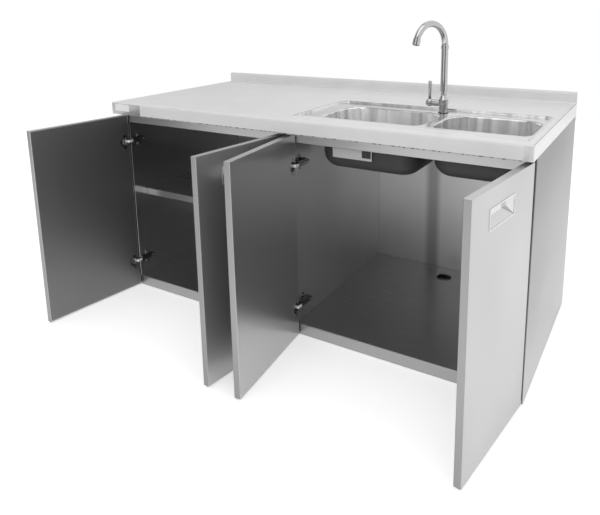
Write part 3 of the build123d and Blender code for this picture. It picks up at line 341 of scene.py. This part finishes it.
def back_material():
    """Back sheet with painted light on its inside, which makes it paler, and a painted dark upright
    reflection in the right compartment.
    """
    made, tree, shader, fine = bare_sheet("back_steel", HORIZONTAL, BACK_ROUGH)
    away = magnitude(tree, minus(tree, axes(tree, "Object")[0], DARK_BAND_X))
    band = ramp(tree, away, (DARK_BAND_SHADE, 0.0), DARK_BAND_EDGE)
    inside = below(tree, axes(tree, "Normal")[1], 0.0)
    shade = minus(tree, 1.0, times(tree, band, inside))
    # painted light: the inside is made paler
    tone = add(tree, ramp(tree, fine, BACK_GREY), times(tree, inside, BACK_INSIDE_LIGHT))
    tree.links.new(times(tree, tone, shade), shader.inputs["Base Color"])
    return made


def side_material():
    """Bright sheet with painted light that makes it paler towards the floor, faint broad patches and painted
    shade on its front edges.
    """
    made, tree, shader, fine = bare_sheet("side_steel", HORIZONTAL, SIDE_ROUGH, SIDE_METAL)
    shader.inputs["Specular Tint"].default_value = even(SIDE_TINT)
    # painted light: paler towards the floor
    height = ramp(tree, axes(tree, "Object")[2], SIDE_LIGHT_GREYS, SIDE_LIGHT_HEIGHTS)
    base = add(tree, height, ramp(tree, fine, around(0.0, SIDE_SPREAD)))
    patch = ramp(tree, grain(tree, SIDE_PATCHES, detail=1.0), around(0.0, SIDE_PATCH_SPREAD), PATCH_RANGE)
    tone = times(tree, add(tree, patch, base), front_edge_shade(tree, SIDE_EDGE_SHADE))
    tree.links.new(tone, shader.inputs["Base Color"])
    return made


# ---------------------------------------------------------------- the pressed sink
def under_side(tree):
    """1 on the outside of the bowls below the deck, which gets painted shade; 0 on the side that holds water
    and on the deck.
    """
    px, py, pz = axes(tree, "Object")
    nx, ny, nz = axes(tree, "Normal")
    (left_x, middle_y), (right_x, _) = BOWL_MIDDLES
    is_right = above(tree, px, LAND_MIDDLE)
    centre_x = add(tree, times(tree, is_right, right_x - left_x), left_x)
    along = times(tree, nx, minus(tree, px, centre_x))
    across = times(tree, ny, minus(tree, py, middle_y))
    up = times(tree, nz, minus(tree, pz, ABOVE_BOWLS))
    outside = above(tree, add(tree, add(tree, along, across), up), 0.0)
    return times(tree, outside, below(tree, pz, UNDERSIDE_TOP))


def sink_material():
    """Satin pressed steel with painted reflections as tall soft streaks on the bowl walls, and painted shade,
    dark and matt, on the outside.
    """
    made, tree, shader = new_material("sink_steel")
    fine = grain(tree, HORIZONTAL)
    level = magnitude(tree, axes(tree, "Normal")[2])
    wall = ramp(tree, level, (1.0, 0.0), WALL_SLOPE)
    # painted reflections as tall streaks on the bowl walls
    reflection_streak = ramp(tree, grain(tree, SINK_REFLECTION_STREAKS, detail=2.5), REFLECTION_STREAK_GREY, REFLECTION_STREAK_RANGE)
    tone = add(tree, times(tree, reflection_streak, wall), ramp(tree, fine, SINK_GREY))
    # painted shade, dark and matt, on the bowls' outside
    underside = under_side(tree)
    unshaded = minus(tree, 1.0, underside)
    grey = add(tree, times(tree, tone, unshaded), times(tree, underside, UNDERSIDE_SHADE_GREY))
    rough = add(tree, ramp(tree, fine, SINK_ROUGH), times(tree, underside, UNDERSIDE_ROUGH))
    tree.links.new(grey, shader.inputs["Base Color"])
    tree.links.new(times(tree, unshaded, SINK_METAL), shader.inputs["Metallic"])
    tree.links.new(rough, shader.inputs["Roughness"])
    bump(tree, fine, shader, SINK_RELIEF)
    return made


# ---------------------------------------------------------------- fittings and film
def plain(name, grey, metallic, roughness):
    """A finish that is even but for faint mottling."""
    made, tree, shader = new_material(name)
    shader.inputs["Metallic"].default_value = metallic
    cloud = grain(tree, MOTTLING, detail=2.0)
    greys = [grey * share for share in MOTTLED_GREY]
    roughs = [roughness * share for share in MOTTLED_ROUGH]
    tree.links.new(ramp(tree, cloud, greys), shader.inputs["Base Color"])
    tree.links.new(ramp(tree, cloud, roughs), shader.inputs["Roughness"])
    return made


def arm_material():
    """Dark nickel, with a painted highlight where the arm crosses the panel's front edge."""
    made, tree, shader = new_material("hinge_arm")
    y = axes(tree, "Object")[1]
    # painted highlight where the arm crosses the panel's front edge
    glint = times(tree, above(tree, y, ARM_GLINT_SPAN[0]), below(tree, y, ARM_GLINT_SPAN[1]))
    cloud = grain(tree, MOTTLING, detail=2.0)
    tone = add(tree, times(tree, glint, ARM_GLINT_GREY), ramp(tree, cloud, ARM_GREY))
    metal = minus(tree, 1.0, times(tree, glint, ARM_GLINT_MATT))
    tree.links.new(tone, shader.inputs["Base Color"])
    tree.links.new(metal, shader.inputs["Metallic"])
    tree.links.new(ramp(tree, cloud, ARM_ROUGH), shader.inputs["Roughness"])
    return made


def film_material():
    """Whitish protective film with soft wrinkles, and painted shade along its torn hem, darker in dashes."""
    made, tree, shader = new_material("protective_film")
    shader.inputs["IOR"].default_value = FILM_IOR
    cloud = grain(tree, FILM_CLOUDS, detail=4.0)
    # painted shade along the hem, darker in dashes where it is torn
    low = below(tree, axes(tree, "Object")[2], apron_z + HEM_SHADE_LINE)
    torn_shade = above(tree, grain(tree, TORN_SHADE_DASHES, detail=1.0), TORN_SHADE_FROM)
    hem_shade_depth = add(tree, times(tree, torn_shade, HEM_SHADE), HEM_SHADE)
    hem = minus(tree, 1.0, times(tree, low, hem_shade_depth))
    tree.links.new(times(tree, ramp(tree, cloud, FILM_GREY), hem), shader.inputs["Base Color"])
    tree.links.new(ramp(tree, cloud, FILM_ROUGH), shader.inputs["Roughness"])
    bump(tree, grain(tree, FILM_WRINKLES, roughness=0.5), shader, WRINKLE_RELIEF, WRINKLE_STRENGTH)
    return made


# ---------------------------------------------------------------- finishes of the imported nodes
finish = {
    "top": brushed("top_steel", grey=0.70, scale=ALONG_X, rough=(0.22, 0.26)),
    "back": back_material(),
    "rail": brushed("rail_steel", grey=0.55, scale=HORIZONTAL, rough=(0.38, 0.40)),
    "level": brushed("level_steel", grey=0.42, scale=ALONG_X, rough=(0.27, 0.29)),
    "side": side_material(),
    # door fronts and divider: shade is the painted shade on their front edges
    "door_out": edged("door_out_steel", grey=0.51, shade=0.62, patches=0.06),
    "divider": edged("divider_steel", grey=0.68, shade=0.22, patches=0.05),
    "door_in": brushed("door_in_steel", grey=0.49, scale=HORIZONTAL, rough=(0.28, 0.31), anisotropy=0.5),
    # the inner steel again, darker: painted shade for door 1's inner pan
    "door_in_painted_shade": brushed(
        "door_in_dark_steel", grey=0.20, scale=HORIZONTAL, rough=(0.40, 0.43), anisotropy=0.3,
    ),
    "handle": brushed("handle_steel", grey=0.66, scale=HORIZONTAL, rough=(0.08, 0.10)),
    "sink": sink_material(),
    "arm": arm_material(),
    "galvanised": plain("galvanised_sheet", grey=0.40, metallic=1.0, roughness=0.45),
    "zinc": plain("zinc_plate", grey=0.45, metallic=1.0, roughness=0.35),
    "nickel": plain("nickel_plate", grey=0.34, metallic=1.0, roughness=0.22),
    "chrome": plain("chrome", grey=0.52, metallic=1.0, roughness=0.05),
    "brass": plain("brass", grey=0.45, metallic=1.0, roughness=0.30),
    "rubber": plain("rubber", grey=0.02, metallic=0.0, roughness=0.55),
    "board": plain("honeycomb_board", grey=0.40, metallic=0.0, roughness=0.85),
}
NODE_FINISH = {
    "worktop": "top", "sink": "sink", "base_panel": "level", "shelf": "level",
    "left_side_panel": "side", "right_side_panel": "side", "centre_divider": "divider",
    "back_panel": "back", "top_front_rail": "rail", "top_rear_rail": "rail",
    "worktop_channels": "galvanised", "base_channels": "galvanised", "foot_plates": "galvanised",
    "foot_nuts": "zinc", "shelf_clips": "zinc", "sink_clips": "zinc", "hinge_screws": "zinc",
    "faucet_washer": "zinc", "faucet_body": "chrome", "cartridge_housing": "chrome",
    "spout_riser": "chrome", "spout_tube": "chrome", "spout_collar": "chrome", "aerator": "chrome",
    "mixer_hub": "chrome", "lever": "chrome", "faucet_shank": "brass", "faucet_nut": "brass",
    "faucet_gasket": "rubber", "lever_ring": "rubber", "hinge_mounting_plates": "nickel",
}
DOOR_FINISH = {
    "outer_pan": "door_out", "inner_pan": "door_in", "core": "board", "handle": "handle",
    "hinge_cups": "nickel", "hinge_pins": "zinc", "hinge_arms": "arm",
}
for number in range(1, DOOR_COUNT + 1):
    for piece, kind in DOOR_FINISH.items():
        NODE_FINISH[f"door_{number}_{piece}"] = kind
# door 1's inner pan gets the inner steel with painted shade
NODE_FINISH["door_1_inner_pan"] = "door_in_painted_shade"
for name, kind in NODE_FINISH.items():
    slots = nodes[name].data.materials
    slots.clear()
    slots.append(finish[kind])


# ---------------------------------------------------------------- protective film
def film_section():
    """Corners (y, z) of the film's section from the apron's lower edge to the upstand's crest."""
    front = top_low.y - FILM_LIFT
    top = top_z + FILM_LIFT
    upstand = top_high.y - UPSTAND_THICKNESS - FILM_LIFT
    crest = top_high.z + FILM_LIFT
    return [
        (front, apron_z - FILM_HEM), (front, top - WORKTOP_BEND), (front + WORKTOP_BEND, top),
        (upstand, top), (upstand, crest - CREST_BEND), (upstand + CREST_REACH, crest),
    ]


def flap_section():
    """Corners (y, z) of the flap from the worktop over the rim bead to the bowls' near edge."""
    start = sink_low.y - FLAP_FRONT
    bead = top_z + BEAD_HEIGHT + FILM_LIFT
    return [
        (start, top_z + FILM_LIFT), (sink_low.y, bead), (sink_low.y + BEAD_WIDTH, bead),
        (sink_low.y + FLAP_REACH, top_z - DECK_DROP + 2 * FILM_LIFT),
    ]


def stepped(corners):
    """The same line with points every film step."""
    line = []
    for (y0, z0), (y1, z1) in zip(corners, corners[1:]):
        count = max(1, round(math.hypot(y1 - y0, z1 - z0) / FILM_STEP))
        line += [(y0 + (y1 - y0) * i / count, z0 + (z1 - z0) * i / count) for i in range(count)]
    return line + [corners[-1]]


def in_sink(x, y):
    """True where the film is cut away for the sink."""
    half = (sink_high - sink_low) / 2
    middle = (sink_high + sink_low) / 2
    corner = SINK_CORNER - FILM_TUCK
    dx = max(abs(x - middle.x) - (half.x - FILM_TUCK - corner), 0.0)
    dy = max(abs(y - middle.y) - (half.y - FILM_TUCK - corner), 0.0)
    return math.hypot(dx, dy) < corner


def is_bare(spot):
    """True where the main sheet of film is cut away: over the sink and at the apron's ends."""
    if spot.z < top_z - WORKTOP_BEND / 2:
        return not top_low.x + APRON_BARE_LEFT < spot.x < top_high.x - APRON_BARE_RIGHT
    return spot.z < top_z + SINK_CUT_HEIGHT and in_sink(spot.x, spot.y)


def film_rise(x, y, z):
    """How far a point of the film is lifted by its waves and, below the apron, by its ragged hem."""
    wave = noise.noise(Vector((x, y, z)) * FILM_WAVE_RATE) * FILM_WAVE
    hem = noise.noise(Vector((x * HEM_RATE, 0.0, 0.0))) * FILM_HEM if z < apron_z else 0.0
    return FILM_WAVE + wave + hem


def make_film(name, section, left, right, is_cut, material):
    """A sheet of film with a section drawn across the worktop."""
    columns = round((right - left) / FILM_STEP)
    line = stepped(section)
    rows = len(line)
    points = []
    for i in range(columns + 1):
        x = left + (right - left) * i / columns
        points += [(x, y, z + film_rise(x, y, z)) for y, z in line]
    faces = []
    for i in range(columns):
        for j in range(rows - 1):
            corners = (i * rows + j, (i + 1) * rows + j, (i + 1) * rows + j + 1, i * rows + j + 1)
            middle = sum((Vector(points[c]) for c in corners), Vector()) / len(corners)
            if not is_cut(middle):
                faces.append(corners)
    mesh = bpy.data.meshes.new(name)
    mesh.from_pydata(points, [], faces)
    mesh.validate()
    for face in mesh.polygons:
        face.use_smooth = True
    film = bpy.data.objects.new(name, mesh)
    bpy.context.collection.objects.link(film)
    film.data.materials.append(material)
    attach(film, "cabinet")


film_finish = film_material()
make_film("film", film_section(), top_low.x + FILM_END_GAP, top_high.x - FILM_END_GAP, is_bare, film_finish)
make_film(
    "film_flap", flap_section(), sink_low.x + FLAP_END_GAP, sink_high.x - FLAP_END_GAP,
    lambda spot: False, film_finish,
)


# ---------------------------------------------------------------- label and plate
def make_plate(name, place, size, material):
    """A thin upright plate on a front face."""
    bpy.ops.mesh.primitive_cube_add(size=1.0, location=place)
    plate = bpy.context.object
    plate.name = name
    plate.dimensions = (size[0], PLATE_THICKNESS, size[1])
    bpy.ops.object.transform_apply(location=False, rotation=False, scale=True)
    plate.data.materials.append(material)
    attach(plate, "cabinet")


label_paper = plain("label_paper", grey=0.62, metallic=0.0, roughness=0.5)
label_ink = plain("label_ink", grey=0.04, metallic=0.0, roughness=0.5)
plate_face = plain("plate_face", grey=0.80, metallic=0.0, roughness=0.4)
label_x, label_y, label_z = LABEL_PLACE
mark_place = (label_x + LABEL_SIZE[0] / 2 - MARK_INSET, label_y - MARK_LIFT, label_z + MARK_RAISE)
make_plate("bowl_label", LABEL_PLACE, LABEL_SIZE, label_paper)
make_plate("bowl_label_mark", mark_place, (LABEL_MARK, LABEL_MARK), label_ink)
make_plate("apron_plate", PLATE_PLACE, PLATE_SIZE, plate_face)


# ---------------------------------------------------------------- world and floor
def white_rays(tree):
    """1 for camera, glossy and transmission rays, which see the white background."""
    path = tree.nodes.new("ShaderNodeLightPath")
    seen = combine(tree, "MAXIMUM", path.outputs["Is Camera Ray"], path.outputs["Is Glossy Ray"])
    return combine(tree, "MAXIMUM", seen, path.outputs["Is Transmission Ray"])


def background(tree, grey):
    """A background shader of one grey."""
    made = tree.nodes.new("ShaderNodeBackground")
    made.inputs["Color"].default_value = even(grey)
    return made


def blend(tree, switch, off, on):
    """One shader or the other, by a light path switch."""
    mix = tree.nodes.new("ShaderNodeMixShader")
    tree.links.new(switch, mix.inputs[0])
    tree.links.new(off.outputs[0], mix.inputs[1])
    tree.links.new(on.outputs[0], mix.inputs[2])
    return mix


def studio_bands(tree):
    """The studio's brightness by compass direction, as one turn from 0 to 1: white, with soft dark panels."""
    x, y, _ = axes(tree, "Generated")
    compass = combine(tree, "ARCTAN2", y, x)
    turn = add(tree, times(tree, compass, 0.5 / math.pi), 0.5)
    bands = tree.nodes.new("ShaderNodeValToRGB")
    bands.color_ramp.interpolation = "EASE"
    stops = bands.color_ramp.elements
    while len(stops) < len(STUDIO_BANDS):
        stops.new(0.5)
    for stop, (position, grey) in zip(stops, STUDIO_BANDS):
        stop.position = position
        stop.color = even(grey)
    tree.links.new(turn, bands.inputs["Fac"])
    return bands.outputs["Color"]


def make_world():
    """White to the camera, even light for matt surfaces, a studio with dark panels for gloss."""
    world = bpy.data.worlds.new("studio")
    bpy.context.scene.world = world
    world.use_nodes = True
    tree = world.node_tree
    tree.nodes.clear()
    path = tree.nodes.new("ShaderNodeLightPath")
    room = background(tree, 1.0)
    tree.links.new(studio_bands(tree), room.inputs["Color"])
    seen = blend(tree, white_rays(tree), background(tree, EVEN_LIGHT), background(tree, 1.0))
    seen = blend(tree, path.outputs["Is Glossy Ray"], seen, room)
    output = tree.nodes.new("ShaderNodeOutputWorld")
    tree.links.new(seen.outputs[0], output.inputs["Surface"])


def make_floor():
    """A pale floor that stays white round the object and keeps its shadow."""
    bpy.ops.mesh.primitive_plane_add(size=FLOOR_SIZE, location=(0, 0, cad_low.z - FLOOR_DROP))
    floor = bpy.context.object
    floor.name = "floor"
    made, tree, shader = new_material("pale_floor")
    shader.inputs["Base Color"].default_value = even(FLOOR_GREY)
    shader.inputs["Roughness"].default_value = FLOOR_ROUGH
    shader.inputs["Specular IOR Level"].default_value = 0.0
    shader.inputs["Emission Color"].default_value = even(1.0)
    px, py, _ = axes(tree, "Object")
    under_x = below(tree, magnitude(tree, px), back_high.x - UNDER_MARGIN)
    under_y = below(tree, magnitude(tree, py), back_high.y - UNDER_MARGIN)
    open_floor = minus(tree, 1.0, times(tree, under_x, under_y))
    seen = times(tree, white_rays(tree), open_floor)
    tree.links.new(times(tree, seen, FLOOR_GAIN), shader.inputs["Emission Strength"])
    floor.data.materials.append(made)


# ---------------------------------------------------------------- lamps and camera
def add_lamp(name, place, aim, size, power):
    """A soft square lamp that points at a place."""
    data = bpy.data.lights.new(name, "AREA")
    data.shape = "SQUARE"
    data.size = size
    data.energy = power
    lamp = bpy.data.objects.new(name, data)
    lamp.location = place
    lamp.rotation_euler = (Vector(aim) - Vector(place)).to_track_quat("-Z", "Y").to_euler()
    bpy.context.collection.objects.link(lamp)


def make_camera():
    """The camera at the photograph's viewing angle; unturned it looks straight down, so 90 is level."""
    data = bpy.data.cameras.new("camera")
    data.sensor_width = SENSOR_WIDTH
    data.lens = FOCAL_PIXELS / IMAGE_WIDTH * SENSOR_WIDTH
    data.shift_x = (IMAGE_WIDTH / 2 - PRINCIPAL_POINT[0]) / IMAGE_WIDTH
    data.shift_y = (PRINCIPAL_POINT[1] - IMAGE_HEIGHT / 2) / IMAGE_WIDTH
    data.clip_end = CLIP_END
    camera = bpy.data.objects.new("camera", data)
    turn = Matrix.Rotation(math.radians(CAMERA_YAW), 4, "Z")
    tilt = Matrix.Rotation(math.radians(90 + CAMERA_PITCH), 4, "X")
    roll = Matrix.Rotation(math.radians(CAMERA_ROLL), 4, "Z")
    camera.matrix_world = Matrix.Translation(CAMERA_PLACE) @ turn @ tilt @ roll
    bpy.context.collection.objects.link(camera)
    bpy.context.scene.camera = camera


make_floor()
make_world()
for lamp_values in LAMPS:
    add_lamp(*lamp_values)
make_camera()
bpy.context.scene.view_settings.view_transform = "Standard"
